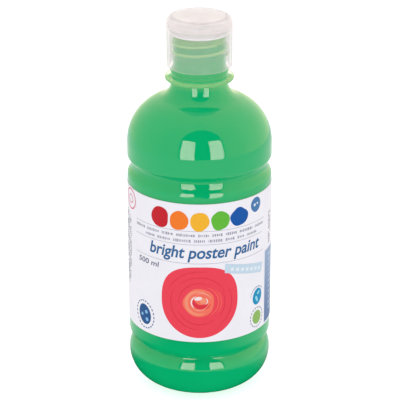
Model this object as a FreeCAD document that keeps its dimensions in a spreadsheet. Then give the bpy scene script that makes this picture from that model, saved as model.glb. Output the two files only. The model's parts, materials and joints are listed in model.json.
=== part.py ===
"""Squeeze bottle of ready-mixed poster paint, with a screw cap and a snap-open lid.

Millimetres, +Z up. The origin is the middle of the base, on the surface that the bottle stands on,
and the front is -Y. Nearly every piece is turned about the bottle's axis, so most outlines
are half sections in the XZ plane: x is the distance from the axis and z is the height.
"""
import FreeCAD, Part
import math
import os
from collections import namedtuple
from types import SimpleNamespace

import Sketcher

# Driving dimensions: alias, value, what it is.
DIMENSIONS = [
    ("panel_radius", 35.0, "outside radius of the body where the label sits"),
    ("wall", 0.6, "blown wall of the body"),
    ("push_up", 6.0, "height of the hollow under the base"),
    ("foot_inner", 17.3, "inside radius of the flat ring that the bottle stands on"),
    ("foot_outer", 19.2, "outside radius of that ring"),
    ("nub_radius", 2.6, "radius of the gate nub in the middle of the base"),
    ("nub_height", 0.8, "how far the nub stands down from the hollow"),
    ("foot_fillet", 2.2, "round from the ring into the hollow"),
    ("crease_height", 23.6, "height of the crease between the foot and the label's wall"),
    ("crease_depth", 2.9, "how far it goes in"),
    ("crease_round", 0.8, "radius at its bottom"),
    ("crease_low_lip", 9.3, "radius of the foot's shoulder under it"),
    ("crease_high_lip", 5.2, "radius of the lip over it"),
    ("waist_height", 115.6, "height of the bottom of the waist above the label"),
    ("waist_depth", 2.4, "how far it goes in"),
    ("waist_low_round", 6.3, "radius of the lower half of its bottom"),
    ("waist_high_round", 2.3, "radius of the upper half of its bottom"),
    ("waist_low_lip", 4.2, "radius of the lip under it"),
    ("waist_high_lip", 2.1, "radius of the lip over it"),
    ("dome_start", 125.7, "height where the shoulder dome leaves the straight wall"),
    ("dome_radius", 23.0, "radius of the shoulder dome"),
    ("neck_radius", 13.4, "outside radius of the neck under the support ring"),
    ("neck_fillet", 9.5, "round from the dome into the neck, outside"),
    ("bore_radius", 10.9, "inside radius of the neck"),
    ("bore_fillet", 12.0, "round from the dome into the neck, inside"),
    ("ring_height", 157.0, "underside of the support ring"),
    ("ring_radius", 16.5, "outside radius of the support ring"),
    ("ring_edge", 1.0, "height of the ring's edge"),
    ("ring_bevel", 0.35, "bevel of the ring's lower edge"),
    ("collar_radius", 13.5, "neck between the support ring and the bead"),
    ("bead_height", 160.7, "underside of the bead under the cap"),
    ("bead_radius", 14.0, "outside radius of that bead"),
    ("bead_bevel", 0.5, "height of the bead's lower bevel"),
    ("bead_edge", 0.5, "height of the bead's edge"),
    ("bead_slope", 2.0, "height over which the bead runs back to the thread's root"),
    ("thread_root", 12.55, "outside radius of the neck between the threads"),
    ("thread_crest", 13.7, "outside radius over the threads"),
    ("thread_pitch", 4.2333, "six threads to the inch"),
    ("thread_turns", 1.85, "turns of thread on the neck"),
    ("thread_start", 168.6, "height at which the neck's thread starts"),
    ("lip_height", 179.5, "top of the neck"),
    ("lip_round", 0.5, "bevel on the lip's outer edge"),
    ("fill_level", 178.4, "top of the paint"),
    ("paint_gap", 0.05, "clearance that keeps the paint's solid off the wall's"),
    ("label_bottom", 34.1, "lower edge of the label"),
    ("label_top", 106.0, "upper edge of the label"),
    ("label_gap", 0.03, "glue line under the label"),
    ("label_paper", 0.12, "thickness of the label"),
    ("label_lap", 15.0, "angle of the glued lap at the back, in degrees"),
    ("cap_bottom", 163.3, "lower edge of the cap"),
    ("cap_radius", 15.7, "outside radius of the cap and the lid"),
    ("cap_edge", 0.9, "round of the cap's lower edge"),
    ("cap_bore", 14.05, "inside radius of the cap's skirt"),
    ("cap_crest", 12.85, "inside radius over the cap's thread"),
    ("cap_turns", 1.25, "turns of thread in the cap"),
    ("thread_drop", 1.6, "how far the cap's thread lies below the neck's"),
    ("tooth_root_width", 1.9, "width of a thread at its root"),
    ("tooth_crest_width", 0.9, "width of a thread at its crest"),
    ("tooth_bite", 0.15, "how deep a thread's root sits in its wall"),
    ("liner_thickness", 1.0, "thickness of the seal on the lip"),
    ("liner_outer", 13.75, "outside radius of the seal"),
    ("liner_inner", 10.0, "inside radius of the seal"),
    ("deck_thickness", 1.4, "thickness of the deck across the cap"),
    ("parting_height", 183.2, "joint between the cap and its lid"),
    ("parting_bevel", 0.25, "bevel on each side of that joint"),
    ("rim_radius", 14.5, "outside radius of the rim that the lid snaps over"),
    ("rim_wall", 1.1, "thickness of the rim"),
    ("rim_rise", 1.2, "height of the rim above the joint"),
    ("spout_radius", 4.4, "outside radius of the spout at the deck"),
    ("spout_tip", 3.6, "outside radius of the spout at its tip"),
    ("spout_height", 185.6, "top of the spout"),
    ("orifice_radius", 2.2, "hole that the paint comes out of"),
    ("lid_top", 188.0, "top of the lid"),
    ("lid_round", 3.3, "round from the lid's side to its top"),
    ("lid_dish", 0.25, "depth of the shallow dish in the lid's top"),
    ("lid_skin", 1.0, "thickness of the lid's top under the dish"),
    ("lid_bore", 14.65, "inside radius of the lid where it passes over the rim"),
    ("lid_core", 13.6, "inside radius of the lid above the rim"),
    ("lid_step", 184.8, "height where the lid's bore changes"),
    ("pin_radius", 1.9, "pin that plugs the spout"),
    ("pin_depth", 1.8, "how far the pin goes into the spout"),
    ("notch_turn", 12.7, "angle of the thumb notch from the front, in degrees"),
    ("notch_height", 185.9, "centre height of the thumb notch"),
    ("notch_width", 4.8, "half the width of the scoop that cuts the notch"),
    ("notch_rise", 2.05, "half its height"),
    ("notch_reach", 1.9, "half its depth"),
    ("notch_offset", 0.6, "how far its centre lies outside the wall"),
    ("film_gap", 0.05, "clearance between the hinge strap and the walls"),
    ("film_thickness", 0.5, "thickness of the hinge strap's two leaves"),
    ("film_neck", 0.22, "thickness of the film between the leaves"),
    ("film_reach", 1.3, "how far each leaf goes from the joint"),
    ("film_half_gap", 0.35, "half the height of the thin film"),
    ("film_angle", 34.0, "angle that the hinge strap covers, in degrees"),
]

SHEET = "Sizes"


class Size:
    """A length with the sheet expression that gives it, so that a sketch starts right and stays bound."""

    def __init__(self, value, text):
        self.value = value
        self.text = text

    @staticmethod
    def of(other):
        return other if isinstance(other, Size) else Size(float(other), str(other))

    def __add__(self, other):
        other = Size.of(other)
        return Size(self.value + other.value, f"({self.text} + {other.text})")

    def __sub__(self, other):
        other = Size.of(other)
        return Size(self.value - other.value, f"({self.text} - {other.text})")

    def __mul__(self, other):
        other = Size.of(other)
        return Size(self.value * other.value, f"({self.text} * {other.text})")

    def __truediv__(self, other):
        other = Size.of(other)
        return Size(self.value / other.value, f"({self.text} / {other.text})")


ZERO = Size(0.0, "0")


def root(size):
    return Size(math.sqrt(size.value), f"sqrt({size.text})")


Point = namedtuple("Point", "x z")
Segment = namedtuple("Segment", "start end radius centre")


def straight(*points):
    """Straight segments through the points."""
    return [Segment(a, b, None, None) for a, b in zip(points, points[1:])]


def arc(start, end, radius, centre):
    return [Segment(start, end, radius, centre)]


def backwards(segments):
    return [Segment(s.end, s.start, s.radius, s.centre) for s in reversed(segments)]


def between(near, far, step, span):
    """The point at step of span on the way from near to far."""
    return Point(near.x + (far.x - near.x) * step / span, near.z + (far.z - near.z) * step / span)


def make_sheet(doc):
    """The spreadsheet of driving dimensions, and the same dimensions as Size values."""
    sheet = doc.addObject("Spreadsheet::Sheet", SHEET)
    sheet.Label = SHEET
    for row, (alias, value, note) in enumerate(DIMENSIONS, start=1):
        sheet.set(f"A{row}", alias)
        sheet.set(f"B{row}", str(value))
        sheet.set(f"C{row}", note)
        sheet.setAlias(f"B{row}", alias)
    doc.recompute()
    sizes = {alias: Size(value, f"{SHEET}.{alias}") for alias, value, _ in DIMENSIONS}
    return SimpleNamespace(**sizes)


def base_plane(body, role):
    return next(item for item in body.Origin.OriginFeatures if item.Role == role)


def bind_point(sketch, index, position, point):
    """Hold one end of a segment at the point's distances from the sketch's two axes."""
    for kind, size, axis in (("DistanceX", point.x, -2), ("DistanceY", point.z, -1)):
        if size.value == 0:
            sketch.addConstraint(Sketcher.Constraint("PointOnObject", index, position, axis))
        else:
            number = sketch.addConstraint(Sketcher.Constraint(kind, index, position, size.value))
            sketch.setExpression(f"Constraints[{number}]", size.text)


def draw(body, name, segments):
    """A closed sketch in the body's XZ plane, fully held by expressions."""
    sketch = body.newObject("Sketcher::SketchObject", name)
    sketch.AttachmentSupport = (base_plane(body, "XZ_Plane"), [""])
    sketch.MapMode = "FlatFace"
    ends = []
    for segment in segments:
        first = FreeCAD.Vector(segment.start.x.value, segment.start.z.value, 0)
        last = FreeCAD.Vector(segment.end.x.value, segment.end.z.value, 0)
        if segment.radius is None:
            index = sketch.addGeometry(Part.LineSegment(first, last), False)
            ends.append((index, 1, 2))
            continue
        centre = FreeCAD.Vector(segment.centre.x.value, segment.centre.z.value, 0)
        from_angle = math.atan2(first.y - centre.y, first.x - centre.x)
        to_angle = math.atan2(last.y - centre.y, last.x - centre.x)
        forwards = (to_angle - from_angle) % math.tau < math.pi
        circle = Part.Circle(centre, FreeCAD.Vector(0, 0, 1), segment.radius.value)
        angles = (from_angle, to_angle) if forwards else (to_angle, from_angle)
        index = sketch.addGeometry(Part.ArcOfCircle(circle, *angles), False)
        ends.append((index, 1, 2) if forwards else (index, 2, 1))
    for order, segment in enumerate(segments):
        index, start, end = ends[order]
        after, after_start, _ = ends[(order + 1) % len(segments)]
        sketch.addConstraint(Sketcher.Constraint("Coincident", index, end, after, after_start))
        bind_point(sketch, index, start, segment.start)
        if segment.radius is not None:
            number = sketch.addConstraint(Sketcher.Constraint("Radius", index, segment.radius.value))
            sketch.setExpression(f"Constraints[{number}]", segment.radius.text)
    return sketch


def new_body(doc, name):
    body = doc.addObject("PartDesign::Body", name)
    body.Label = name
    return body


def turn(body, name, segments, angle=None):
    """Turn an outline about the Z axis: all the way, or by a bound angle centred on the XZ plane."""
    sketch = draw(body, f"{name}_sketch", segments)
    feature = body.newObject("PartDesign::Revolution", name)
    feature.Profile = sketch
    feature.ReferenceAxis = (sketch, ["V_Axis"])
    if angle is None:
        feature.Angle = 360
    else:
        feature.Midplane = True
        feature.setExpression("Angle", f"{angle.text} * 1deg")
    return feature


def add_thread(body, name, sizes, root_radius, crest_radius, height, turns):
    """A right-hand thread, its tooth pointing from root_radius to crest_radius."""
    half_root = sizes.tooth_root_width / 2
    half_crest = sizes.tooth_crest_width / 2
    corners = [
        Point(root_radius, height - half_root),
        Point(crest_radius, height - half_crest),
        Point(crest_radius, height + half_crest),
        Point(root_radius, height + half_root),
    ]
    sketch = draw(body, f"{name}_sketch", straight(*corners, corners[0]))
    helix = body.newObject("PartDesign::AdditiveHelix", name)
    helix.Profile = sketch
    helix.ReferenceAxis = (sketch, ["V_Axis"])
    helix.Mode = 1
    helix.setExpression("Pitch", sizes.thread_pitch.text)
    helix.setExpression("Turns", turns.text)
    return helix


def face_notch(body, sizes, extra_degrees=0):
    """Turn a piece of the closure about the axis with its thumb notch."""
    body.Placement = FreeCAD.Placement(FreeCAD.Vector(), FreeCAD.Rotation(FreeCAD.Vector(0, 0, 1), 1))
    angle = f"({sizes.notch_turn.text} + {extra_degrees}) * 1deg"
    body.setExpression("Placement.Rotation.Angle", angle)


def groove_side(sizes, depth, bottom_round, lip_round):
    """One side of a groove: the radii of its lip's and its bottom's centres, and the height between the two."""
    lip_x = sizes.panel_radius - lip_round
    bottom_x = sizes.panel_radius - depth + bottom_round
    span = bottom_round + lip_round
    across = bottom_x - lip_x
    return lip_x, bottom_x, root(span * span - across * across)


def groove(sizes, inset, height, depth, rounds, lips):
    """An annular groove from its lower lip to its upper lip, moved in from the outside by inset.

    rounds and lips are radii below and above the groove's bottom."""
    wall_x = sizes.panel_radius - inset
    bottom = Point(sizes.panel_radius - depth - inset, height)
    halves = []
    for side, (bottom_round, lip_round) in enumerate(zip(rounds, lips)):
        lip_x, bottom_x, rise = groove_side(sizes, depth, bottom_round, lip_round)
        lip = Point(lip_x, height + rise if side else height - rise)
        centre = Point(bottom_x, height)
        joint = between(lip, centre, lip_round - inset, bottom_round + lip_round)
        halves.append(arc(bottom, joint, bottom_round + inset, centre)
                      + arc(joint, Point(wall_x, lip.z), lip_round - inset, lip))
    below, above = halves
    return backwards(below) + above


def body_outline(sizes, inset, neck_radius, neck_fillet, top):
    """The bottle's half section from the middle of the base up to the neck, moved in by inset."""
    fillet = sizes.foot_fillet
    ring = sizes.foot_inner
    # The hollow under the base is a ball of this radius that touches the foot's round.
    ball = (ring * ring + (fillet - sizes.push_up) * (fillet - sizes.push_up) - fillet * fillet)
    ball = ball / (sizes.push_up * 2)
    ball_centre = Point(ZERO, sizes.push_up - ball)
    apex = Point(ZERO, sizes.push_up + inset)
    foot_centre = Point(ring, fillet)
    foot_joint = between(foot_centre, ball_centre, fillet - inset, ball + fillet)
    foot_start = Point(ring, ZERO + inset)
    foot_end = Point(sizes.foot_outer, ZERO + inset)
    corner = sizes.panel_radius - sizes.foot_outer
    corner_end = Point(sizes.panel_radius - inset, corner)
    crease = groove(sizes, inset, sizes.crease_height, sizes.crease_depth,
                    (sizes.crease_round, sizes.crease_round), (sizes.crease_low_lip, sizes.crease_high_lip))
    waist = groove(sizes, inset, sizes.waist_height, sizes.waist_depth,
                   (sizes.waist_low_round, sizes.waist_high_round), (sizes.waist_low_lip, sizes.waist_high_lip))
    dome_centre = Point(sizes.panel_radius - sizes.dome_radius, sizes.dome_start)
    dome_foot = Point(sizes.panel_radius - inset, sizes.dome_start)
    reach = sizes.dome_radius - inset + neck_fillet
    across = neck_radius + neck_fillet - dome_centre.x
    neck_centre = Point(neck_radius + neck_fillet, sizes.dome_start + root(reach * reach - across * across))
    dome_joint = between(dome_centre, neck_centre, sizes.dome_radius - inset, reach)
    neck_foot = Point(neck_radius, neck_centre.z)
    return (arc(apex, foot_joint, ball + inset, ball_centre)
            + arc(foot_joint, foot_start, fillet - inset, foot_centre)
            + straight(foot_start, foot_end)
            + arc(foot_end, corner_end, corner - inset, Point(sizes.foot_outer, corner))
            + straight(corner_end, crease[0].start)
            + crease
            + straight(crease[-1].end, waist[0].start)
            + waist
            + straight(waist[-1].end, dome_foot)
            + arc(dome_foot, dome_joint, sizes.dome_radius - inset, dome_centre)
            + arc(dome_joint, neck_foot, neck_fillet, neck_centre)
            + straight(neck_foot, Point(neck_radius, top)))


def closed(segments):
    """Close an outline with a straight segment from its end to its start."""
    return segments + straight(segments[-1].end, segments[0].start)


def make_bottle(doc, sizes):
    """The blown bottle, with the moulded finish of its neck: support ring, bead and thread."""
    body = new_body(doc, "bottle")
    outside = body_outline(sizes, ZERO, sizes.neck_radius, sizes.neck_fillet, sizes.ring_height)
    inside = body_outline(sizes, sizes.wall, sizes.bore_radius, sizes.bore_fillet, sizes.lip_height)
    ring_top = sizes.ring_height + sizes.ring_bevel + sizes.ring_edge
    bead_top = sizes.bead_height + sizes.bead_bevel + sizes.bead_edge
    finish = straight(
        outside[-1].end,
        Point(sizes.ring_radius - sizes.ring_bevel, sizes.ring_height),
        Point(sizes.ring_radius, sizes.ring_height + sizes.ring_bevel),
        Point(sizes.ring_radius, ring_top),
        Point(sizes.collar_radius, ring_top + sizes.ring_edge),
        Point(sizes.collar_radius, sizes.bead_height),
        Point(sizes.bead_radius, sizes.bead_height + sizes.bead_bevel),
        Point(sizes.bead_radius, bead_top),
        Point(sizes.thread_root, bead_top + sizes.bead_slope),
        Point(sizes.thread_root, sizes.lip_height - sizes.lip_round),
        Point(sizes.thread_root - sizes.lip_round, sizes.lip_height),
        inside[-1].end,
    )
    turn(body, "bottle_wall", closed(outside + finish + backwards(inside)))
    nub_low = sizes.push_up - sizes.nub_height
    nub_high = sizes.push_up + sizes.wall / 2
    nub = [Point(ZERO, nub_low), Point(sizes.nub_radius, nub_low),
           Point(sizes.nub_radius, nub_high), Point(ZERO, nub_high)]
    turn(body, "gate_nub", straight(*nub, nub[0]))
    add_thread(body, "neck_thread", sizes, sizes.thread_root - sizes.tooth_bite, sizes.thread_crest,
               sizes.thread_start, sizes.thread_turns)
    return body


def make_paint(doc, sizes):
    """The paint that fills the bottle."""
    body = new_body(doc, "paint")
    inset = sizes.wall + sizes.paint_gap
    side = body_outline(sizes, inset, sizes.bore_radius - sizes.paint_gap,
                        sizes.bore_fillet + sizes.paint_gap, sizes.fill_level)
    top = straight(side[-1].end, Point(ZERO, sizes.fill_level))
    turn(body, "paint_fill", closed(side + top))
    return body


def make_label(doc, sizes):
    """The wrap-round label, with its glued lap at the back."""
    body = new_body(doc, "label")
    inner = sizes.panel_radius + sizes.label_gap
    outer = inner + sizes.label_paper
    lap = outer + sizes.label_paper
    rectangles = {
        "label_wrap": (inner, outer, None),
        "label_overlap": (inner, lap, sizes.label_lap),
    }
    for name, (near, far, angle) in rectangles.items():
        corners = [Point(near, sizes.label_bottom), Point(far, sizes.label_bottom),
                   Point(far, sizes.label_top), Point(near, sizes.label_top)]
        turn(body, name, straight(*corners, corners[0]), angle)
    body.Placement = FreeCAD.Placement(FreeCAD.Vector(), FreeCAD.Rotation(FreeCAD.Vector(0, 0, 1), 90))
    return body


def make_seal_liner(doc, sizes):
    """The soft ring between the neck's lip and the cap's deck."""
    body = new_body(doc, "seal_liner")
    top = sizes.lip_height + sizes.liner_thickness
    corners = [Point(sizes.liner_inner, sizes.lip_height), Point(sizes.liner_outer, sizes.lip_height),
               Point(sizes.liner_outer, top), Point(sizes.liner_inner, top)]
    turn(body, "liner_ring", straight(*corners, corners[0]))
    return body


def make_cap_base(doc, sizes):
    """The threaded skirt, the deck with its spout, and the rim that the lid snaps over."""
    body = new_body(doc, "cap_base")
    edge = sizes.parting_bevel
    underside = sizes.lip_height + sizes.liner_thickness
    deck = underside + sizes.deck_thickness
    rim_top = sizes.parting_height + sizes.rim_rise
    rim_inner = sizes.rim_radius - sizes.rim_wall
    round_start = Point(sizes.cap_radius - sizes.cap_edge, sizes.cap_bottom)
    round_centre = Point(round_start.x, sizes.cap_bottom + sizes.cap_edge)
    round_end = Point(sizes.cap_radius, round_centre.z)
    rest = straight(
        round_end,
        Point(sizes.cap_radius, sizes.parting_height - edge),
        Point(sizes.cap_radius - edge, sizes.parting_height),
        Point(sizes.rim_radius, sizes.parting_height),
        Point(sizes.rim_radius, rim_top - edge),
        Point(sizes.rim_radius - edge, rim_top),
        Point(rim_inner, rim_top),
        Point(rim_inner, deck),
        Point(sizes.spout_radius, deck),
        Point(sizes.spout_tip, sizes.spout_height),
        Point(sizes.orifice_radius, sizes.spout_height),
        Point(sizes.orifice_radius, underside),
        Point(sizes.cap_bore, underside),
        Point(sizes.cap_bore, sizes.cap_bottom + edge),
        Point(sizes.cap_bore + edge, sizes.cap_bottom),
        round_start,
    )
    turn(body, "cap_shell", arc(round_start, round_end, sizes.cap_edge, round_centre) + rest)
    # The cap is turned by the notch's angle, so its thread starts that much further up the helix.
    climb = sizes.thread_pitch * sizes.notch_turn / 360
    add_thread(body, "cap_thread", sizes, sizes.cap_bore + sizes.tooth_bite, sizes.cap_crest,
               sizes.thread_start - sizes.thread_drop + climb, sizes.cap_turns)
    face_notch(body, sizes)
    return body


def make_flip_lid(doc, sizes):
    """The lid, with the pin that plugs the spout and the scoop for a thumb."""
    body = new_body(doc, "flip_lid")
    edge = sizes.parting_bevel
    flat = sizes.cap_radius - sizes.lid_round
    shoulder = sizes.lid_top - sizes.lid_round
    dish = sizes.lid_top - sizes.lid_dish
    ceiling = dish - sizes.lid_skin
    pin_tip = sizes.spout_height - sizes.pin_depth
    side = straight(
        Point(sizes.lid_bore, sizes.parting_height),
        Point(sizes.cap_radius - edge, sizes.parting_height),
        Point(sizes.cap_radius, sizes.parting_height + edge),
        Point(sizes.cap_radius, shoulder),
    )
    rounded = arc(Point(sizes.cap_radius, shoulder), Point(flat, sizes.lid_top), sizes.lid_round,
                  Point(flat, shoulder))
    rest = straight(
        Point(flat, sizes.lid_top),
        Point(flat - edge, dish),
        Point(ZERO, dish),
        Point(ZERO, pin_tip),
        Point(sizes.pin_radius - edge, pin_tip),
        Point(sizes.pin_radius, pin_tip + edge),
        Point(sizes.pin_radius, ceiling),
        Point(sizes.lid_core - edge, ceiling),
        Point(sizes.lid_core, ceiling - edge),
        Point(sizes.lid_core, sizes.lid_step),
        Point(sizes.lid_bore, sizes.lid_step),
    )
    turn(body, "lid_shell", closed(side + rounded + rest))
    scoop = body.newObject("PartDesign::SubtractiveEllipsoid", "thumb_scoop")
    scoop.setExpression("Radius1", sizes.notch_rise.text)
    scoop.setExpression("Radius2", sizes.notch_width.text)
    scoop.setExpression("Radius3", sizes.notch_reach.text)
    scoop.setExpression("Placement.Base.y", f"-{sizes.cap_radius.text} - {sizes.notch_offset.text}")
    scoop.setExpression("Placement.Base.z", sizes.notch_height.text)
    face_notch(body, sizes)
    return body


def make_living_hinge(doc, sizes):
    """The moulded strap between the cap and the lid: two leaves with a thin film between them."""
    body = new_body(doc, "living_hinge")
    inner = sizes.cap_radius + sizes.film_gap
    outer = inner + sizes.film_thickness
    film = inner + sizes.film_neck
    joint = sizes.parting_height
    slope = sizes.film_thickness - sizes.film_neck
    corners = [
        Point(inner, joint - sizes.film_reach),
        Point(outer, joint - sizes.film_reach),
        Point(outer, joint - sizes.film_half_gap - slope),
        Point(film, joint - sizes.film_half_gap),
        Point(film, joint + sizes.film_half_gap),
        Point(outer, joint + sizes.film_half_gap + slope),
        Point(outer, joint + sizes.film_reach),
        Point(inner, joint + sizes.film_reach),
    ]
    turn(body, "hinge_strap", straight(*corners, corners[0]), sizes.film_angle)
    face_notch(body, sizes, extra_degrees=90)
    return body


def check(doc, bodies):
    """Stop with a plain message if anything in the document failed."""
    for item in doc.Objects:
        if {"Invalid", "Error"} & set(item.State):
            raise RuntimeError(f"{item.Label} failed: {item.State}")
    for body in bodies:
        if body.Shape.isNull() or not body.Shape.isValid() or not body.Shape.Solids:
            raise RuntimeError(f"{body.Label} has no valid solid")


def main():
    doc = FreeCAD.newDocument("paint_bottle")
    sizes = make_sheet(doc)
    makers = [make_bottle, make_paint, make_label, make_seal_liner, make_cap_base, make_flip_lid,
              make_living_hinge]
    bodies = [make(doc, sizes) for make in makers]
    doc.recompute()
    check(doc, bodies)
    os.makedirs("parts", exist_ok=True)
    for body in bodies:
        body.Shape.exportStep(f"parts/{body.Label}.step")
        box = body.Shape.BoundBox
        print(f"{body.Label}: {len(body.Shape.Solids)} solid, {body.Shape.Volume / 1000:.2f} ml,"
              f" z {box.ZMin:.2f} to {box.ZMax:.2f}, x {box.XMin:.2f} to {box.XMax:.2f}")


main()
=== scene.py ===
import json
import math
import random

import bmesh
import bpy
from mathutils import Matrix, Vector


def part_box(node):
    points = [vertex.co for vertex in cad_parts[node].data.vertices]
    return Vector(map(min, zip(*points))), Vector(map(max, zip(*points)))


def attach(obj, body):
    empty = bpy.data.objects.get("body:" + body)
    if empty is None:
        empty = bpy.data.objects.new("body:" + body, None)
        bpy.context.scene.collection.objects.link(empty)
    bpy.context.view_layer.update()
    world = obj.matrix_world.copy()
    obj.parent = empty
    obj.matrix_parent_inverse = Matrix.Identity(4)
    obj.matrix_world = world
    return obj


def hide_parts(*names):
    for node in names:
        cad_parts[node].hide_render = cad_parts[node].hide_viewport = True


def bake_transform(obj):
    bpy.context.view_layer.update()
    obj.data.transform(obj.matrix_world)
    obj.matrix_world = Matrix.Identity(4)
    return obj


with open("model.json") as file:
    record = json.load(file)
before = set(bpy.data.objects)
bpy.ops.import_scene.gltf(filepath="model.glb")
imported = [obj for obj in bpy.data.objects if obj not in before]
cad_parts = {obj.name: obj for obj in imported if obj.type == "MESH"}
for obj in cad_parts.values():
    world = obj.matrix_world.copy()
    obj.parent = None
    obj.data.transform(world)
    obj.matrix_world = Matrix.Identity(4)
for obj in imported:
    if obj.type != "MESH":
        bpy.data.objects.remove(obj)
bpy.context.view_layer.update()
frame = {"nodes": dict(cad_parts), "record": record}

# Everything is in metres, in the frame's own axes: +Z up along the bottle, -Y the front.
MM = 0.001

LABEL_LOW, LABEL_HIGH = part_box("label")
LABEL_BOTTOM, LABEL_TOP = LABEL_LOW.z, LABEL_HIGH.z
LABEL_RADIUS = LABEL_HIGH.x                      # outside of the label, away from its lap
LABEL_PAPER = 0.12 * MM
LAP_ANGLE = math.radians(15)
INK = 0.02 * MM                                  # thickness of one printed layer
LAYER_STEP = 0.022 * MM                          # each layer lies this much further out than the last
BEND_STEP = 1.2 * MM                             # width of the flat facets that wrap print round the label
CAP_LOW, CAP_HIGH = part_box("cap_base")
LID_LOW, LID_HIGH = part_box("flip_lid")
CAP_RADIUS = CAP_HIGH.x
PARTING = LID_LOW.z                              # height of the joint between the cap and its lid
DECK_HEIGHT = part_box("seal_liner")[1].z          # underside of the cap's deck, which rests on the liner
LIP_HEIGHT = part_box("bottle")[1].z               # top of the neck
THREAD_ROOT = 12.55 * MM                         # outside radius of the neck between its threads
LID_FOLD = 12.9 * MM                             # where the lid's top turns down into its side
RING_RADIUS = 16.5 * MM                          # outside radius of the support ring
RING_HEIGHT = 157 * MM                           # and the height of its underside
SHARP_EDGE = math.radians(35)                    # shading is smooth across edges that bend less


# ---------------------------------------------------------------------------------------------
# Materials
# ---------------------------------------------------------------------------------------------

def new_material(name):
    """A material with nothing in it but its output and a Principled shader."""
    material = bpy.data.materials.new(name)
    material.use_nodes = True
    nodes = material.node_tree.nodes
    return material, nodes, material.node_tree.links, nodes["Principled BSDF"]


def object_noise(nodes, links, scale, detail=3.0, stretch=(1, 1, 1)):
    """Noise in the object's own space, stretched along its axes."""
    place = nodes.new("ShaderNodeTexCoord")
    mapping = nodes.new("ShaderNodeMapping")
    mapping.inputs["Scale"].default_value = stretch
    noise = nodes.new("ShaderNodeTexNoise")
    noise.inputs["Scale"].default_value = scale
    noise.inputs["Detail"].default_value = detail
    links.new(place.outputs["Object"], mapping.inputs["Vector"])
    links.new(mapping.outputs["Vector"], noise.inputs["Vector"])
    return noise.outputs["Fac"]


def vary(nodes, links, fac, low, high):
    """A colour between low and high."""
    mix = nodes.new("ShaderNodeMix")
    mix.data_type = "RGBA"
    mix.inputs["A"].default_value = (*low, 1)
    mix.inputs["B"].default_value = (*high, 1)
    links.new(fac, mix.inputs["Factor"])
    return mix.outputs["Result"]


def span(nodes, links, fac, low, high):
    """A number between low and high."""
    ramp = nodes.new("ShaderNodeMapRange")
    ramp.inputs["To Min"].default_value = low
    ramp.inputs["To Max"].default_value = high
    links.new(fac, ramp.inputs["Value"])
    return ramp.outputs["Result"]


def maths(nodes, links, operation, *values):
    """A Math node on sockets or plain numbers."""
    node = nodes.new("ShaderNodeMath")
    node.operation = operation
    for socket, value in zip(node.inputs, values):
        if isinstance(value, (int, float)):
            socket.default_value = value
        else:
            links.new(value, socket)
    return node.outputs["Value"]


def step_up(nodes, links, value, low, high):
    """0 below low and 1 above high, with a smooth rise between."""
    step = nodes.new("ShaderNodeMapRange")
    step.interpolation_type = "SMOOTHSTEP"
    step.inputs["From Min"].default_value = low
    step.inputs["From Max"].default_value = high
    links.new(value, step.inputs["Value"])
    return step.outputs["Result"]


def bump(nodes, links, fac, shader, strength, distance):
    """Fine relief from fac."""
    node = nodes.new("ShaderNodeBump")
    node.inputs["Strength"].default_value = strength
    node.inputs["Distance"].default_value = distance
    links.new(fac, node.inputs["Height"])
    links.new(node.outputs["Normal"], shader.inputs["Normal"])


def choose(nodes, links, fac, first, second):
    """Mix two shaders by a socket."""
    mix = nodes.new("ShaderNodeMixShader")
    links.new(fac, mix.inputs["Fac"])
    links.new(first, mix.inputs[1])
    links.new(second, mix.inputs[2])
    return mix.outputs["Shader"]


def object_place(nodes, links):
    """The x, y and z of a point of the object."""
    place = nodes.new("ShaderNodeTexCoord")
    parts = nodes.new("ShaderNodeSeparateXYZ")
    links.new(place.outputs["Object"], parts.inputs["Vector"])
    return tuple(parts.outputs[axis] for axis in "XYZ")


def blend_colour(nodes, links, fac, colour, other):
    """A colour socket that turns into another colour where fac is 1."""
    mix = nodes.new("ShaderNodeMix")
    mix.data_type = "RGBA"
    links.new(colour, mix.inputs["A"])
    mix.inputs["B"].default_value = (*other, 1)
    links.new(fac, mix.inputs["Factor"])
    return mix.outputs["Result"]


def distance_out(nodes, links, x, y):
    """How far a point lies from the bottle's axis."""
    x_squared = maths(nodes, links, "MULTIPLY", x, x)
    y_squared = maths(nodes, links, "MULTIPLY", y, y)
    return maths(nodes, links, "SQRT", maths(nodes, links, "ADD", x_squared, y_squared))


def mirrored_ray(nodes, links):
    """1 where a surface is seen mirrored in gloss, and 0 where it is seen any other way."""
    path = nodes.new("ShaderNodeLightPath")
    return maths(nodes, links, "MULTIPLY", path.outputs["Is Glossy Ray"], path.outputs["Is Reflection Ray"])


def let_light_through(material, nodes, links, surface, tint):
    """Finish a material so that light on its way to or from a dull surface goes straight through it, tinted,
    instead of being bent."""
    path = nodes.new("ShaderNodeLightPath")
    open_way = nodes.new("ShaderNodeBsdfTransparent")
    open_way.inputs["Color"].default_value = (*tint, 1)
    for kind in ("Is Shadow Ray", "Is Diffuse Ray"):
        surface = choose(nodes, links, path.outputs[kind], surface, open_way.outputs["BSDF"])
    links.new(surface, nodes["Material Output"].inputs["Surface"])


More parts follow.
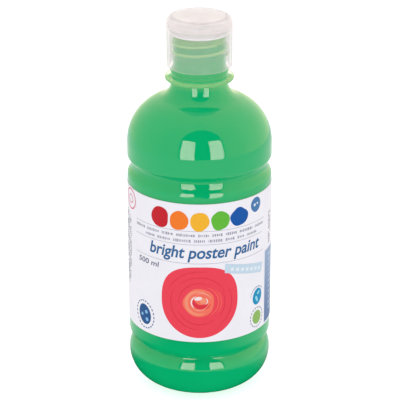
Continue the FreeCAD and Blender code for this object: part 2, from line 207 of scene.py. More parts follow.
def clear_plastic():
    """Blown clear plastic: smooth, with the long shallow waves that blowing leaves. The moulded neck, with
    its support ring, thread and lip, is thicker, and light caught in it is painted on as a pale glint."""
    material, nodes, links, shader = new_material("clear_plastic")
    shader.inputs["Base Color"].default_value = (0.97, 1.0, 0.96, 1)
    shader.inputs["Transmission Weight"].default_value = 1.0
    shader.inputs["IOR"].default_value = 1.5
    shader.inputs["Specular Tint"].default_value = (1.0, 0.96, 0.50, 1)
    fine = object_noise(nodes, links, 60, 2, (1, 1, 0.35))
    links.new(span(nodes, links, fine, 0.02, 0.07), shader.inputs["Roughness"])
    bump(nodes, links, fine, shader, 0.05, 0.5 * MM)
    x, y, z = object_place(nodes, links)
    out = distance_out(nodes, links, x, y)
    neck = step_up(nodes, links, z, RING_HEIGHT - 3.0 * MM, RING_HEIGHT - 2.0 * MM)
    thread = maths(nodes, links, "MULTIPLY",
                   step_up(nodes, links, out, THREAD_ROOT + 0.1 * MM, THREAD_ROOT + 0.9 * MM),
                   step_up(nodes, links, z, CAP_LOW.z + 2.0 * MM, CAP_LOW.z + 2.5 * MM))
    ring = maths(nodes, links, "MULTIPLY", neck,
                 step_up(nodes, links, out, RING_RADIUS - 2.4 * MM, RING_RADIUS - 0.9 * MM))
    lip = step_up(nodes, links, z, LIP_HEIGHT - 4.6 * MM, LIP_HEIGHT - 3.4 * MM)
    # painted glint: the neck, and more strongly its thread, ring and lip, get a pale colour in place of light
    # caught in them
    painted_neck_glint = maths(nodes, links, "MULTIPLY", neck, 0.11)
    for part, strength in ((thread, 0.5), (ring, 0.3), (lip, 0.35)):
        painted_neck_glint = maths(nodes, links, "MAXIMUM", painted_neck_glint, maths(nodes, links, "MULTIPLY", part, strength))
    # the pale green colour of the painted glint
    milk_and_painted_light = nodes.new("ShaderNodeBsdfDiffuse")
    milk_and_painted_light.inputs["Color"].default_value = (0.70, 0.93, 0.40, 1)
    surface = choose(nodes, links, painted_neck_glint, shader.outputs["BSDF"], milk_and_painted_light.outputs["BSDF"])
    let_light_through(material, nodes, links, surface, (0.985, 0.99, 0.985))
    return material


def paint_material():
    """Thick green poster paint wet against the wall, with faint clouds where it has settled."""
    material, nodes, links, shader = new_material("green_paint")
    clouds = object_noise(nodes, links, 28, 4, (1, 1, 0.5))
    green = vary(nodes, links, clouds, (0.001, 0.430, 0.146), (0.004, 0.472, 0.170))
    links.new(green, shader.inputs["Base Color"])
    links.new(span(nodes, links, clouds, 0.45, 0.6), shader.inputs["Roughness"])
    shader.inputs["Specular IOR Level"].default_value = 0.0
    return material


def film_material():
    """White printed film: satin, very slightly mottled, with a faint orange-peel surface."""
    material, nodes, links, shader = new_material("label_film")
    mottle = object_noise(nodes, links, 90, 3)
    grain = object_noise(nodes, links, 1800, 2)
    white = vary(nodes, links, mottle, (0.835, 0.825, 0.865), (0.905, 0.895, 0.925))
    links.new(white, shader.inputs["Base Color"])
    links.new(span(nodes, links, grain, 0.42, 0.55), shader.inputs["Roughness"])
    shader.inputs["Specular IOR Level"].default_value = 0.25
    bump(nodes, links, grain, shader, 0.05, 0.02 * MM)
    return material


def ink(name, colour, foot=None):
    """Printing ink with the slight unevenness of print on film. It may fade to another colour at its foot."""
    material, nodes, links, shader = new_material(f"ink_{name}")
    speckle = object_noise(nodes, links, 900, 3)
    print_colour = vary(nodes, links, speckle, tuple(0.9 * part for part in colour), colour)
    if foot:
        z = object_place(nodes, links)[2]
        low = step_up(nodes, links, z, LABEL_BOTTOM + 45 * MM, LABEL_BOTTOM)
        print_colour = blend_colour(nodes, links, low, print_colour, foot)
    links.new(print_colour, shader.inputs["Base Color"])
    links.new(span(nodes, links, speckle, 0.38, 0.5), shader.inputs["Roughness"])
    shader.inputs["Specular IOR Level"].default_value = 0.12
    return material


def frosted_plastic():
    """Natural moulded plastic with a satin skin: what is behind it shows through a milky veil. The veil is
    denser where the wall is seen edge on, and from the deck up, where several walls lie together. Painted
    shade darkens the fold round the lid's top."""
    material, nodes, links, shader = new_material("frosted_cap")
    flow = object_noise(nodes, links, 140, 3, (1, 1, 0.3))
    shader.inputs["Base Color"].default_value = (0.975, 0.97, 0.965, 1)
    links.new(span(nodes, links, flow, 0.16, 0.24), shader.inputs["Roughness"])
    shader.inputs["IOR"].default_value = 1.02
    shader.inputs["Transmission Weight"].default_value = 1.0
    shader.inputs["Coat Weight"].default_value = 0.4
    shader.inputs["Coat Roughness"].default_value = 0.25
    milk_and_painted_light = nodes.new("ShaderNodeBsdfDiffuse")
    x, y, z = object_place(nodes, links)
    out = distance_out(nodes, links, x, y)
    # painted shade: the fold round the lid's top is darkened in colour
    painted_fold_shade = maths(nodes, links, "MULTIPLY",
                 step_up(nodes, links, z, LID_HIGH.z - 0.9 * MM, LID_HIGH.z - 0.3 * MM),
                 step_up(nodes, links, out, LID_FOLD - 1.0 * MM, LID_FOLD))
    cloud = vary(nodes, links, flow, (0.89, 0.815, 0.785), (0.95, 0.87, 0.84))
    # the darker colour here is the painted shade of the fold
    links.new(blend_colour(nodes, links, painted_fold_shade, cloud, (0.70, 0.62, 0.61)), milk_and_painted_light.inputs["Color"])
    dense = span(nodes, links, step_up(nodes, links, z, DECK_HEIGHT, DECK_HEIGHT + 0.6 * MM), 0.12, 0.4)
    slant = nodes.new("ShaderNodeLayerWeight")
    slant.inputs["Blend"].default_value = 0.5
    edge = maths(nodes, links, "MULTIPLY", maths(nodes, links, "POWER", slant.outputs["Facing"], 1.8), 0.9)
    veil = maths(nodes, links, "MAXIMUM", dense, edge)
    surface = choose(nodes, links, veil, shader.outputs["BSDF"], milk_and_painted_light.outputs["BSDF"])
    let_light_through(material, nodes, links, surface, (0.985, 0.98, 0.98))
    return material


def foam_material():
    """Soft white foam."""
    material, nodes, links, shader = new_material("seal_foam")
    cells = object_noise(nodes, links, 1500, 4)
    links.new(vary(nodes, links, cells, (0.82, 0.82, 0.80), (0.92, 0.92, 0.90)), shader.inputs["Base Color"])
    shader.inputs["Roughness"].default_value = 0.8
    bump(nodes, links, cells, shader, 0.3, 0.05 * MM)
    return material


def give(piece, material):
    """Put one material on a piece or a CAD node."""
    piece.data.materials.clear()
    piece.data.materials.append(material)


# ---------------------------------------------------------------------------------------------
# Meshes
# ---------------------------------------------------------------------------------------------

def mesh_piece(name, points, faces, material, smooth=True):
    """An object made of points and faces. Smooth shading stops at its sharp edges."""
    mesh = bpy.data.meshes.new(name)
    mesh.from_pydata(points, [], faces)
    mesh.validate()
    if smooth:
        mesh.shade_smooth()
        mesh.set_sharp_from_angle(angle=SHARP_EDGE)
    piece = bpy.data.objects.new(name, mesh)
    bpy.context.scene.collection.objects.link(piece)
    give(piece, material)
    return piece


def wet_paint(material):
    """The paint, grown a little past the inside of the wall, so that no air shows between them."""
    growth = 0.09 * MM
    mesh = frame["nodes"]["paint"].data.copy()
    mesh.name = "green_paint"
    shape = bmesh.new()
    shape.from_mesh(mesh)
    bmesh.ops.remove_doubles(shape, verts=shape.verts, dist=0.002 * MM)
    bmesh.ops.recalc_face_normals(shape, faces=shape.faces)
    shape.normal_update()
    moves = [vertex.normal * growth for vertex in shape.verts]
    for vertex, move in zip(shape.verts, moves):
        vertex.co += move
    shape.to_mesh(mesh)
    shape.free()
    mesh.shade_smooth()
    mesh.set_sharp_from_angle(angle=SHARP_EDGE)
    piece = bpy.data.objects.new("paint_fill", mesh)
    bpy.context.scene.collection.objects.link(piece)
    give(piece, material)
    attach(piece, "bottle")
    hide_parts("paint")


def label_sheet(material):
    """The label: one long sheet round the bottle, whose end lies over its beginning at the back."""
    columns = 360
    inner = LABEL_RADIUS - LABEL_PAPER
    start = math.radians(90) - LAP_ANGLE / 2
    sweep = math.tau + LAP_ANGLE
    ramp = math.radians(4)
    points, faces = [], []
    for column in range(columns + 1):
        turned = sweep * column / columns
        over = min(1, max(0, (turned - math.tau + ramp) / ramp))
        near = inner + over * (LABEL_PAPER + 0.005 * MM)
        far = near + LABEL_PAPER
        angle = start + turned
        corners = ((near, LABEL_BOTTOM), (far, LABEL_BOTTOM), (far, LABEL_TOP), (near, LABEL_TOP))
        for radius, height in corners:
            points.append((radius * math.cos(angle), radius * math.sin(angle), height))
    for column in range(columns):
        here, there = 4 * column, 4 * column + 4
        for side in range(4):
            after = (side + 1) % 4
            faces.append((here + side, there + side, there + after, here + after))
    last = 4 * columns
    faces.append((0, 1, 2, 3))
    faces.append((last + 3, last + 2, last + 1, last))
    piece = mesh_piece("label_film", points, faces, material)
    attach(piece, "bottle")
    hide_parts("label")


# ---------------------------------------------------------------------------------------------
# Print on the label. Page coordinates are millimetres: x across from the middle of the front,
# y up from the label's lower edge.
# ---------------------------------------------------------------------------------------------

def wrap_onto_label(mesh, layer):
    """Bend a flat page mesh round the label and give it the thickness of ink."""
    shape = bmesh.new()
    shape.from_mesh(mesh)
    bmesh.ops.remove_doubles(shape, verts=shape.verts, dist=0.004 * MM)
    low = min(vertex.co.x for vertex in shape.verts)
    high = max(vertex.co.x for vertex in shape.verts)
    widest = max(max(v.co.x for v in face.verts) - min(v.co.x for v in face.verts) for face in shape.faces)
    cuts = int((high - low) / BEND_STEP) if widest > BEND_STEP else 0
    for cut in range(1, cuts + 1):
        parts = shape.verts[:] + shape.edges[:] + shape.faces[:]
        place = low + (high - low) * cut / (cuts + 1)
        bmesh.ops.bisect_plane(shape, geom=parts, plane_co=(place, 0, 0), plane_no=(1, 0, 0), dist=1e-7)
    bmesh.ops.triangulate(shape, faces=shape.faces[:])
    for face in shape.faces:
        if face.normal.z < 0:
            face.normal_flip()
    underside = shape.faces[:]
    raised = bmesh.ops.extrude_face_region(shape, geom=underside, use_keep_orig=True)
    top = [item for item in raised["geom"] if isinstance(item, bmesh.types.BMVert)]
    for face in underside:
        face.normal_flip()
    for vertex in shape.verts:
        vertex.co.z = 0.0
    for vertex in top:
        vertex.co.z = INK
    radius = LABEL_RADIUS + layer * LAYER_STEP
    for vertex in shape.verts:
        angle = vertex.co.x / LABEL_RADIUS
        reach = radius + vertex.co.z
        vertex.co = (reach * math.sin(angle), -reach * math.cos(angle), LABEL_BOTTOM + vertex.co.y)
    shape.to_mesh(mesh)
    shape.free()


def flatten(curve):
    """The mesh of a curve or text, which is then removed."""
    holder = bpy.data.objects.new("page", curve)
    bpy.context.scene.collection.objects.link(holder)
    bpy.context.view_layer.update()
    mesh = bpy.data.meshes.new_from_object(holder.evaluated_get(bpy.context.evaluated_depsgraph_get()))
    bpy.data.objects.remove(holder)
    return mesh


def outlined_page(outlines):
    """A flat mesh that fills the outlines: each is a list of (x, y), and one inside another is a hole."""
    curve = bpy.data.curves.new("page", "CURVE")
    curve.dimensions = "2D"
    curve.fill_mode = "BOTH"
    for outline in outlines:
        spline = curve.splines.new("POLY")
        spline.points.add(len(outline) - 1)
        for point, (x, y) in zip(spline.points, outline):
            point.co = (x * MM, y * MM, 0, 1)
        spline.use_cyclic_u = True
    return flatten(curve)


def written_page(text, left, right, base, tall, slant, weight):
    """A flat mesh of words between two x, standing on base. tall is the height of their tallest letter,
    and weight makes them bolder."""
    letters = bpy.data.curves.new("words", "FONT")
    letters.body = text
    letters.shear = slant
    letters.offset = weight
    mesh = flatten(letters)
    start = min(vertex.co.x for vertex in mesh.vertices)
    end = max(vertex.co.x for vertex in mesh.vertices)
    top = max(vertex.co.y for vertex in mesh.vertices)
    wide = (right - left) / (end - start)
    for vertex in mesh.vertices:
        vertex.co.x = (left + (vertex.co.x - start) * wide) * MM
        vertex.co.y = (base + vertex.co.y * tall / top) * MM
    return mesh


def screen_colour(parts):
    """A colour given as a screen shows it, 0 to 255, as linear light."""
    toe = 10
    return tuple(part / 255 / 12.92 if part < toe else ((part / 255 + 0.055) / 1.055) ** 2.4
                 for part in parts)


def lay_print(name, colour, layer, page, foot=None):
    """Wrap a page onto the label as one piece in one ink."""
    page.name = name
    wrap_onto_label(page, layer)
    piece = bpy.data.objects.new(name, page)
    bpy.context.scene.collection.objects.link(piece)
    give(piece, ink(name, screen_colour(colour), foot and screen_colour(foot)))
    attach(piece, "bottle")


def print_shapes(name, colour, layer, *outlines, foot=None):
    """Fill outlines with one ink, as one piece."""
    lay_print(name, colour, layer, outlined_page(outlines), foot)


def turned_point(x, y, right, rise, turned):
    """A point right and up of (x, y), turned about it by an angle in degrees."""
    turn = math.radians(turned)
    return (x + right * math.cos(turn) - rise * math.sin(turn),
            y + right * math.sin(turn) + rise * math.cos(turn))


def ellipse(x, y, across, up=None, turned=0.0):
    """An ellipse round (x, y), turned by an angle in degrees."""
    up = up or across
    count = 40
    angles = [math.tau * step / count for step in range(count)]
    return [turned_point(x, y, across * math.cos(angle), up * math.sin(angle), turned) for angle in angles]


def bar(x0, y0, x1, y1):
    return [(x0, y0), (x1, y0), (x1, y1), (x0, y1)]


def blot(x, y, across, up, seed, lobes, depth):
    """A round splash of paint with an uneven edge."""
    dice = random.Random(seed)
    waves = [(k, depth * dice.uniform(0.3, 1) / k ** 0.5, dice.uniform(0, math.tau))
             for k in range(2, lobes + 2)]
    count = 64
    points = []
    for step in range(count):
        angle = math.tau * step / count
        reach = 1 + sum(size * math.cos(k * angle + start) for k, size, start in waves)
        points.append((x + across * reach * math.cos(angle), y + up * reach * math.sin(angle)))
    return points


def stroke(x, y, reach, start, sweep, width, drift=0.0):
    """A brush stroke along part of a circle, thin at both ends. drift is how far it winds outwards."""
    count = 20
    outer, inner = [], []
    for step in range(count + 1):
        part = step / count
        angle = math.radians(start + sweep * part)
        middle = reach + drift * part
        half = width / 2 * max(0.08, math.sin(math.pi * part) ** 0.6)
        outer.append((x + (middle + half) * math.cos(angle), y + (middle + half) * math.sin(angle)))
        inner.append((x + (middle - half) * math.cos(angle), y + (middle - half) * math.sin(angle)))
    return outer + inner[::-1]


def dashed_ring(x, y, across, up, turned, dashes, gap, wide):
    """A ring of dashes: gap is the empty part of each step."""
    shapes = []
    for dash in range(dashes):
        first = math.tau * dash / dashes
        last = first + math.tau / dashes * (1 - gap)
        corners = ((first, 0), (last, 0), (last, wide), (first, wide))
        shapes.append([
            turned_point(x, y, (across + more) * math.cos(angle), (up + more) * math.sin(angle), turned)
            for angle, more in corners])
    return shapes


def rounded_blob(x, y, across, up, top_power, low_power):
    """A rounded outline, squarer above its middle where top_power is larger."""
    count = 120
    points = []
    for step in range(count):
        angle = math.tau * step / count
        power = top_power if math.sin(angle) > 0 else low_power
        reach = (abs(math.cos(angle)) ** power + abs(math.sin(angle)) ** power) ** (-1 / power)
        points.append((x + across * reach * math.cos(angle), y + up * reach * math.sin(angle)))
    return points


def fine_row(left, right, middle, tall, dice, upright=False):
    """A row of print too small to read, as letter-sized dashes in word-sized groups."""
    shapes = []
    x = left
    while x < right:
        end = min(x + dice.uniform(3.2, 8.5), right)
        while x < end:
            wide = dice.uniform(0.25, 0.8)
            high = tall * dice.uniform(0.6, 1.0) / 2
            shapes.append(bar(middle - high, x, middle + high, x + wide) if upright
                          else bar(x, middle - high, x + wide, middle + high))
            x += wide + dice.uniform(0.3, 0.5)
        x += 1.4
    return shapes


def print_lines():
    """Three thin rules across the front."""
    half = 0.1
    rules = [(58.1, -36.3, 37.8), (51.2, -36.4, 36.0), (41.4, -36.7, 37.2)]
    print_shapes("print_lines", (176, 178, 190), 1,
                 *(bar(left, height - half, right, height + half) for height, left, right in rules))


def print_small_text():
    """The rows of small print, at the front, up both sides and round the back."""
    dice = random.Random(5)
    print_shapes("print_small_text", (158, 160, 174), 1,
                 *fine_row(-35.8, 36.4, 55.9, 1.5, dice),
                 *fine_row(-28.7, 31.0, 53.1, 1.5, dice))
    shapes = []
    for column, (low, high) in enumerate(((24, 57), (21, 59), (20, 58), (23, 56), (30, 55))):
        shapes += fine_row(low, high, -50.4 + 1.75 * column, 1.15, dice, upright=True)
    for column in range(2):
        shapes += fine_row(42, 59, 44.4 + 1.8 * column, 1.1, dice, upright=True)
    for row in range(9):
        shapes += fine_row(54, 54 + dice.uniform(34, 44), 64 - 2.5 * row, 1.3, dice)
    for row in range(14):
        shapes += fine_row(-100, -100 + dice.uniform(36, 43), 64 - 2.5 * row, 1.3, dice)
    x = -96.0
    while x < -68:
        wide = dice.choice((0.35, 0.35, 0.7, 1.05))
        shapes.append(bar(x, 6, x + wide, 22))
        x += wide + dice.choice((0.35, 0.7))
    print_shapes("print_side_text", (96, 104, 116), 1, *shapes)


def print_swatches():
    """A row of paint blots in rainbow order, which sags a little in the middle."""
    swatches = (
        ("red", (203, 26, 40), 4.9, 5.2),
        ("orange", (250, 126, 30), 4.7, 4.8),
        ("yellow", (250, 186, 38), 4.6, 4.8),
        ("leaf", (98, 190, 52), 4.6, 4.8),
        ("blue", (0, 86, 168), 4.8, 4.8),
    )
    for place, (name, colour, across, up) in enumerate(swatches):
        x = -19.9 + 10.0 * place
        y = 63.6 - 0.6 * math.sin(math.pi * place / 4)
        print_shapes(f"print_blot_{name}", colour, 1, blot(x, y, across, up, 11 + place, 4, 0.06))


def print_words():
    lay_print("print_words", (48, 106, 158), 1,
              written_page("bright poster paint", -26.0, 33.4, 44.2, 6.0, 0.22, 0.019))
    lay_print("print_amount", (104, 114, 136), 1,
              written_page("500 ml", -34.2, -20.5, 37.2, 2.7, 0.12, 0.012))


def print_splash():
    """A large red blob of paint with brush marks round an orange curl."""
    x, y = 0.1, 20.9
    marks = (
        (10.2, 60, 130, 0.5),
        (11.6, 200, 110, 0.6),
        (13.2, 20, 120, 0.5),
        (14.3, 150, 120, 0.6),
        (15.9, 300, 90, 0.5),
        (16.3, 80, 80, 0.5),
        (12.4, 320, 70, 0.5),
    )
    print_shapes("print_splash", (243, 66, 84), 1, rounded_blob(x, y, 19.2, 18.7, 2.6, 2.05))
    print_shapes("print_splash_marks", (228, 52, 74), 2, *(stroke(x, y, *mark) for mark in marks))
    print_shapes("print_curl", (250, 118, 92), 2, blot(x - 0.4, y, 7.6, 7.4, 21, 4, 0.05))
    print_shapes("print_curl_marks", (250, 98, 88), 3,
                 stroke(x + 1.4, y, 7.6, -70, 150, 0.7, 0.6),
                 stroke(x + 1.4, y, 9.2, -40, 90, 0.6))
    print_shapes("print_curl_pale", (250, 150, 116), 3,
                 stroke(x - 0.4, y, 6.1, 60, 240, 1.6),
                 ellipse(x + 1.7, y + 1.0, 1.6, 1.5))
    print_shapes("print_curl_heart", (228, 48, 66), 3,
                 stroke(x + 0.5, y + 1.3, 3.5, 172, 166, 2.3),
                 stroke(x + 0.6, y + 1.2, 5.0, 262, 80, 0.5))
    print_shapes("print_curl_hook", (250, 232, 230), 4,
                 stroke(x - 0.5, y + 0.2, 3.5, 112, 120, 0.7),
                 ellipse(x - 0.7, y + 2.3, 1.9, 1.0, 8),
                 stroke(x + 2.1, y + 0.9, 1.7, -75, 140, 0.5))
    print_shapes("print_curl_line", (252, 176, 156), 5,
                 stroke(x, y + 0.5, 4.5, 206, 120, 0.4),
                 stroke(x + 0.8, y, 5.2, 20, 100, 0.45))


def print_corner_marks():
    """A plain badge and a ring in the label's upper corners, and a pale plate with a row of squares."""
    print_shapes("print_corner_badge", (72, 124, 176), 1, blot(30.6, 67.0, 3.5, 3.8, 31, 3, 0.04))
    print_shapes("print_corner_dots", (225, 236, 246), 2,
                 ellipse(29.7, 67.0, 0.75),
                 ellipse(31.7, 67.4, 0.55))
    print_shapes("print_pink_ring", (226, 120, 138), 1,
                 ellipse(-42.5, 66.0, 5.6, 5.3),
                 ellipse(-42.5, 66.0, 4.9, 4.6),
                 ellipse(-42.5, 66.0, 2.6, 2.3),
                 ellipse(-42.5, 66.0, 2.1, 1.8))
    print_shapes("print_plate", (201, 222, 236), 2, [(12.3, 35.8), (12.6, 40.6), (36.9, 34.9), (35.6, 30.0)])
    squares = []
    for place in range(7):
        x = 15.4 + 2.9 * place
        fall = 0.235 * (x - 12.3)
        squares.append(bar(x, 36.9 - fall, x + 1.7, 38.6 - fall))
    print_shapes("print_plate_streaks", (232, 242, 248), 3, *squares)


def print_lower_badges():
    """Plain round badges in the label's lower corners. None carries a sign or a letter."""
    print_shapes("print_blue_badge", (34, 88, 144), 1,
                 ellipse(-30.2, 9.4, 4.3, 5.3, 12),
                 *dashed_ring(-30.2, 9.3, 6.0, 6.9, 12, 22, 0.42, 0.55))
    print_shapes("print_blue_spots", (140, 190, 232), 2,
                 ellipse(-29.0, 10.9, 0.95),
                 ellipse(-28.6, 7.0, 1.0),
                 ellipse(-32.0, 9.0, 0.8))
    print_shapes("print_cyan_badge", (0, 146, 192), 1, ellipse(32.6, 18.0, 3.5, 4.3, -14))
    print_shapes("print_cyan_leaf", (150, 218, 236), 2,
                 ellipse(32.0, 16.9, 0.8, 1.8, 24),
                 ellipse(33.4, 19.8, 1.3, 0.7, 30))
    print_shapes("print_grey_hoop", (150, 168, 190), 1, stroke(32.6, 18.0, 5.2, 25, 150, 0.5))
    print_shapes("print_green_badge", (146, 190, 98), 1, ellipse(32.4, 6.9, 3.3, 3.6))
    print_shapes("print_green_rim", (112, 126, 140), 1, *dashed_ring(32.4, 6.9, 4.6, 4.9, 0, 18, 0.4, 0.5))


def print_side_block():
    """The blue block at the right-hand side, paler at its top, with rows of small print."""
    print_shapes("print_blue_block", (158, 180, 208), 1, bar(39.6, 1.0, 92.0, 39.4), foot=(92, 122, 166))
    dice = random.Random(9)
    shapes = []
    for row in range(11):
        shapes += fine_row(45, 45 + dice.uniform(34, 43), 35.6 - 2.9 * row, 1.3, dice)
    print_shapes("print_block_text", (226, 233, 242), 2, *shapes)


def print_label():
    print_lines()
    print_small_text()
    print_swatches()
    print_words()
    print_splash()
    print_corner_marks()
    print_lower_badges()
    print_side_block()


# ---------------------------------------------------------------------------------------------
# The closure
# ---------------------------------------------------------------------------------------------

def hinge_strap(material):
    """The strap between cap and lid: two leaves and a thin film."""
    flip = next(joint for joint in frame["record"]["behaviour"]["joints"] if joint["name"] == "lid_flip")
    back = Vector((flip["pos_m"][0], flip["pos_m"][1], 0)).normalized()
    middle = math.atan2(back.y, back.x)
    half = math.radians(17)
    inner = CAP_RADIUS + 0.03 * MM
    leaf, film = 0.55 * MM, 0.22 * MM                # thickness of the leaves and of the film
    reach, thin = 1.3 * MM, 0.35 * MM                # half the height of the strap and of the film
    half_rows = 16
    rows = []
    for step in range(-half_rows, half_rows + 1):
        height = reach * step / half_rows
        along = max(0.0, abs(height) - thin) / (reach - thin)
        ease = min(1.0, along * 3)
        edge = math.sqrt(max(0.0, 1 - max(0.0, (along - 0.75) / 0.25) ** 2 * 0.8))
        rows.append((height, (film + (leaf - film) * ease * ease * (3 - 2 * ease)) * edge))
    columns = 24
    points, faces = [], []
    for column in range(columns + 1):
        across = -1 + 2 * column / columns
        angle = middle + half * across
        taper = (1 - abs(across) ** 8) ** 0.5
        for height, _ in rows:
            points.append((inner * math.cos(angle), inner * math.sin(angle), PARTING + height))
        for height, thick in rows:
            out = inner + max(0.04 * MM, thick * taper)
            points.append((out * math.cos(angle), out * math.sin(angle), PARTING + height))
    count = len(rows)
    stride = 2 * count
    for column in range(columns):
        here, there = column * stride, (column + 1) * stride
        for row in range(count - 1):
            outer, beyond = here + count + row, there + count + row
            faces.append((here + row, here + row + 1, there + row + 1, there + row))
            faces.append((outer + 1, outer, beyond, beyond + 1))
        faces.append((here, there, there + count, here + count))
        faces.append((there + count - 1, here + count - 1, here + stride - 1, there + stride - 1))
    for base, flipped in ((0, False), (columns * stride, True)):
        for row in range(count - 1):
            face = (base + row, base + count + row, base + count + row + 1, base + row + 1)
            faces.append(face[::-1] if flipped else face)
    piece = mesh_piece("hinge_strap", points, faces, material)
    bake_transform(piece)
    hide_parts("living_hinge")


# ---------------------------------------------------------------------------------------------
# Studio
# ---------------------------------------------------------------------------------------------

CAMERA_DISTANCE = 0.926
CAMERA_RISE = 22.29                              # degrees above the horizon
CAMERA_TARGET = Vector((0.00026, 0, 0.094))
CAMERA_LENS = 170.5

ROOM_LIGHT = (1.0, 0.995, 1.02)                  # radiance of the even light
REFLECTED_ROOM = 1.3                             # radiance of the room as gloss shows it
PANEL_MIDDLE = 4.0                               # azimuth of the black panel behind the softboxes
PANEL_HALF_WIDTH = 37.0
PANEL_SHOULDER = 36.0                            # elevation of its top at its sides
PANEL_TOP = 63.5                                 # and at the middle of its arch
SOFTBOX_RADIANCE = 11.5
SOFTBOX_COLOUR = (0.66, 0.52, 1.0)               # cool, next to the warm room
SOFTBOX_DISTANCE = 1.1
SOFTBOX_BOTTOM = -0.06                           # below the table top, past whose edge they stand
SOFTBOX_TOP = 0.89
TABLE_REACH = 0.785                              # how far the table goes, as gloss shows it


def towards(azimuth, elevation):
    """The unit vector to a place round the bottle: azimuth 0 is the front, and 90 is the +X side."""
    a, e = math.radians(azimuth), math.radians(elevation)
    return Vector((math.sin(a) * math.cos(e), -math.cos(a) * math.cos(e), math.sin(e)))


def make_camera():
    data = bpy.data.cameras.new("camera")
    data.lens = CAMERA_LENS
    data.clip_start = 0.05
    data.clip_end = 30
    camera = bpy.data.objects.new("camera", data)
    bpy.context.scene.collection.objects.link(camera)
    back = towards(0, CAMERA_RISE)
    camera.location = CAMERA_TARGET + back * CAMERA_DISTANCE
    camera.rotation_mode = "QUATERNION"
    camera.rotation_quaternion = (-back).to_track_quat("-Z", "Y")
    bpy.context.scene.camera = camera


def softbox(name, azimuth, wide):
    """An upright softbox that shows in glossy surfaces only: the even light of the room does the rest."""
    high = SOFTBOX_TOP - SOFTBOX_BOTTOM
    data = bpy.data.lights.new(name, "AREA")
    data.shape = "RECTANGLE"
    data.size = wide
    data.size_y = high
    data.color = SOFTBOX_COLOUR
    data.energy = SOFTBOX_RADIANCE * math.pi * wide * high
    lamp = bpy.data.objects.new(name, data)
    bpy.context.scene.collection.objects.link(lamp)
    out = towards(azimuth, 0)
    lamp.location = out * SOFTBOX_DISTANCE + Vector((0, 0, (SOFTBOX_TOP + SOFTBOX_BOTTOM) / 2))
    lamp.rotation_mode = "QUATERNION"
    lamp.rotation_quaternion = out.to_track_quat("Z", "Y")
    lamp.visible_camera = False
    lamp.visible_diffuse = False


def make_floor():
    """A white floor. In gloss it is dark close in front of the bottle, bright further off, and ends
    where the photographer's table would. From below it can be seen through."""
    material, nodes, links, shader = new_material("floor_white")
    shader.inputs["Base Color"].default_value = (0.6, 0.6, 0.6, 1)
    shader.inputs["Roughness"].default_value = 0.9
    shader.inputs["Specular IOR Level"].default_value = 0.0
    shader.inputs["Emission Color"].default_value = (1, 1, 1, 1)
    shader.inputs["Emission Strength"].default_value = 0.7
    place = nodes.new("ShaderNodeTexCoord")
    apart = nodes.new("ShaderNodeVectorMath")
    apart.operation = "DISTANCE"
    apart.inputs[1].default_value = (-0.010, -0.045, 0)
    links.new(place.outputs["Object"], apart.inputs[0])
    far = step_up(nodes, links, apart.outputs["Value"], 0.055, 0.11)
    sheen = nodes.new("ShaderNodeEmission")
    links.new(far, sheen.inputs["Strength"])
    gone = nodes.new("ShaderNodeBsdfTransparent")
    ends = step_up(nodes, links, apart.outputs["Value"], TABLE_REACH - 0.01, TABLE_REACH)
    table = choose(nodes, links, ends, sheen.outputs["Emission"], gone.outputs["BSDF"])
    surface = choose(nodes, links, mirrored_ray(nodes, links), shader.outputs["BSDF"], table)
    side = nodes.new("ShaderNodeNewGeometry")
    links.new(choose(nodes, links, side.outputs["Backfacing"], surface, gone.outputs["BSDF"]),
              nodes["Material Output"].inputs["Surface"])
    half = 6.0
    corners = [(-half, -half, 0), (half, -half, 0), (half, half, 0), (-half, half, 0)]
    floor = mesh_piece("floor", corners, [(0, 1, 2, 3)], material, smooth=False)
    floor.visible_diffuse = False


def past(nodes, links, angle, edge, soft):
    """0 below an angle and 1 above it, in degrees, with a soft edge."""
    return step_up(nodes, links, angle, math.radians(edge - soft / 2), math.radians(edge + soft / 2))


def within(nodes, links, angle, low, high, soft):
    """1 between two angles and 0 outside them."""
    return maths(nodes, links, "SUBTRACT",
                 past(nodes, links, angle, low, soft), past(nodes, links, angle, high, soft))


def background(nodes, colour):
    shader = nodes.new("ShaderNodeBackground")
    shader.inputs["Color"].default_value = (*colour, 1)
    return shader


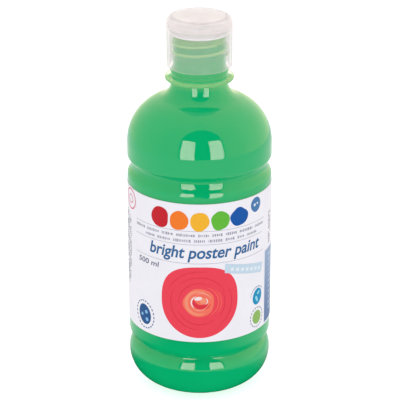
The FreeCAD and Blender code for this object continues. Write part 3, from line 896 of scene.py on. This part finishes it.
def make_world():
    """A white room. It lights evenly. In gloss it is warm and brighter to the right, and shows an arched
    black panel behind the softboxes, with a dimmer zone round the panel."""
    world = bpy.data.worlds.new("white_room")
    bpy.context.scene.world = world
    world.use_nodes = True
    nodes, links = world.node_tree.nodes, world.node_tree.links
    nodes.remove(nodes["Background"])
    place = nodes.new("ShaderNodeTexCoord")
    parts = nodes.new("ShaderNodeSeparateXYZ")
    links.new(place.outputs["Generated"], parts.inputs["Vector"])
    x, y, z = (parts.outputs[axis] for axis in "XYZ")
    azimuth = maths(nodes, links, "ARCTAN2", x, maths(nodes, links, "MULTIPLY", y, -1.0))
    elevation = maths(nodes, links, "ARCSINE", z)
    side = maths(nodes, links, "DIVIDE",
                 maths(nodes, links, "SUBTRACT", azimuth, math.radians(PANEL_MIDDLE)),
                 math.radians(PANEL_HALF_WIDTH))
    level = maths(nodes, links, "SUBTRACT", 1.0, maths(nodes, links, "MULTIPLY", side, side))
    bow = maths(nodes, links, "SQRT", maths(nodes, links, "MAXIMUM", 0.0, level))
    arch = maths(nodes, links, "MULTIPLY_ADD", bow, math.radians(PANEL_TOP - PANEL_SHOULDER),
                 math.radians(PANEL_SHOULDER))
    over = maths(nodes, links, "SUBTRACT", elevation, arch)
    width = PANEL_HALF_WIDTH
    panel = maths(nodes, links, "MULTIPLY",
                  within(nodes, links, azimuth, PANEL_MIDDLE - width, PANEL_MIDDLE + width, 3),
                  maths(nodes, links, "MULTIPLY", past(nodes, links, elevation, -20, 2),
                        maths(nodes, links, "SUBTRACT", 1.0, past(nodes, links, over, 0, 3))))
    outer = maths(nodes, links, "MULTIPLY",
                  within(nodes, links, azimuth, PANEL_MIDDLE - 2 * width, PANEL_MIDDLE + 2 * width, 20),
                  maths(nodes, links, "SUBTRACT", 1.0, past(nodes, links, over, 22, 6)))
    glow = maths(nodes, links, "MULTIPLY_ADD", x, 0.3, REFLECTED_ROOM)
    glow = maths(nodes, links, "MULTIPLY", glow, span(nodes, links, outer, 1.0, 0.82))
    bright = background(nodes, (1.06, 0.97, 0.72))
    links.new(glow, bright.inputs["Strength"])
    gloss = choose(nodes, links, panel, bright.outputs["Background"],
                   background(nodes, (0.01, 0.012, 0.012)).outputs["Background"])
    even = background(nodes, ROOM_LIGHT).outputs["Background"]
    surface = choose(nodes, links, mirrored_ray(nodes, links), even, gloss)
    links.new(surface, nodes["World Output"].inputs["Surface"])


def make_studio():
    bpy.context.scene.view_settings.view_transform = "Standard"
    make_camera()
    make_world()
    make_floor()
    softbox("softbox_left", -18.5, 0.42)
    softbox("softbox_right", 26.9, 0.41)


# ---------------------------------------------------------------------------------------------
# The whole
# ---------------------------------------------------------------------------------------------

def finish_cad_nodes():
    """Give the CAD nodes that stay in sight their materials, and return the cap's."""
    give(frame["nodes"]["bottle"], clear_plastic())
    cap = frosted_plastic()
    for node in ("cap_base", "flip_lid"):
        give(frame["nodes"][node], cap)
    give(frame["nodes"]["seal_liner"], foam_material())
    return cap


make_studio()
cap_material = finish_cad_nodes()
wet_paint(paint_material())
label_sheet(film_material())
print_label()
hinge_strap(cap_material)
